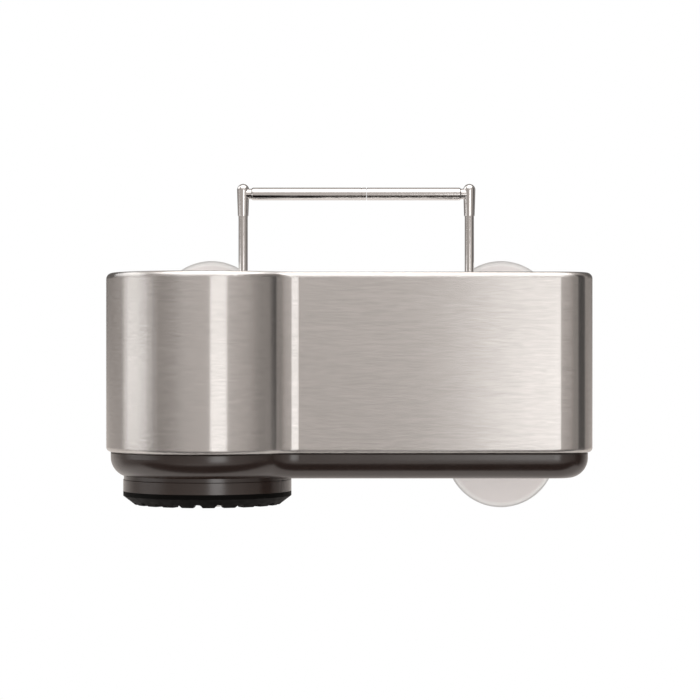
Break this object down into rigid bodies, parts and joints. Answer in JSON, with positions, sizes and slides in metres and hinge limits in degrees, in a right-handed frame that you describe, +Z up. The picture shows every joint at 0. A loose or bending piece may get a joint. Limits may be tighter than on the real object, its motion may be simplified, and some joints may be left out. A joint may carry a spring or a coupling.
{
  "type": "sponge holder",
  "caption": "Sink caddy with a brushed steel band on a moulded base: a sponge box, a lift-out brush cup, suction cups behind and a hanger whose bars swing open.",
  "frame": {"origin": "on the plane of the sink wall, in the middle of the suction cups", "axes": "+X to the right seen from the front, +Y into the sink wall, +Z up"},
  "size_m": [0.2378, 0.1152, 0.1667],
  "materials": {
    "brushed_band": "satin with a fine level grain",
    "dark_plastic": "semi-gloss moulded",
    "black_rubber": "matte moulded",
    "milky_vinyl": "milky and translucent",
    "bright_chrome": "polished plating",
    "rivet_metal": "satin",
    "fastener_steel": "plain"
  },
  "bodies": {
    "caddy": {"steel_band": "brushed_band", "base_tray": "dark_plastic", "left_bracket": "dark_plastic", "right_bracket": "dark_plastic", "bracket_rivets": "rivet_metal", "suction_cup_upper_left": "milky_vinyl", "suction_cup_upper_right": "milky_vinyl", "suction_cup_lower_left": "milky_vinyl", "suction_cup_lower_right": "milky_vinyl", "left_post": "bright_chrome", "right_post": "bright_chrome", "post_pins": "fastener_steel"},
    "brush_holder": {"brush_cup": "dark_plastic", "drain_foot": "black_rubber"},
    "left_arm": {"left_knuckle": "bright_chrome", "left_bar": "bright_chrome", "left_bar_tip": "bright_chrome", "left_pivot_screw": "fastener_steel"},
    "right_arm": {"right_knuckle": "bright_chrome", "right_bar": "bright_chrome", "right_pivot_screw": "fastener_steel"}
  },
  "joints": [
    {"name": "brush_cup_lift", "type": "slide", "parent": "caddy", "child": "brush_holder", "axis": [0, 0, 1], "range_m": [0, 0.12]},
    {"name": "left_arm_swing", "type": "hinge", "parent": "caddy", "child": "left_arm", "pos_m": [-0.0581, -0.0115, 0.09785], "axis": [0, 0, 1], "range_deg": [0, 180]},
    {"name": "right_arm_swing", "type": "hinge", "parent": "caddy", "child": "right_arm", "pos_m": [0.0581, -0.0115, 0.09785], "axis": [0, 0, 1], "range_deg": [-180, 0]}
  ]
}
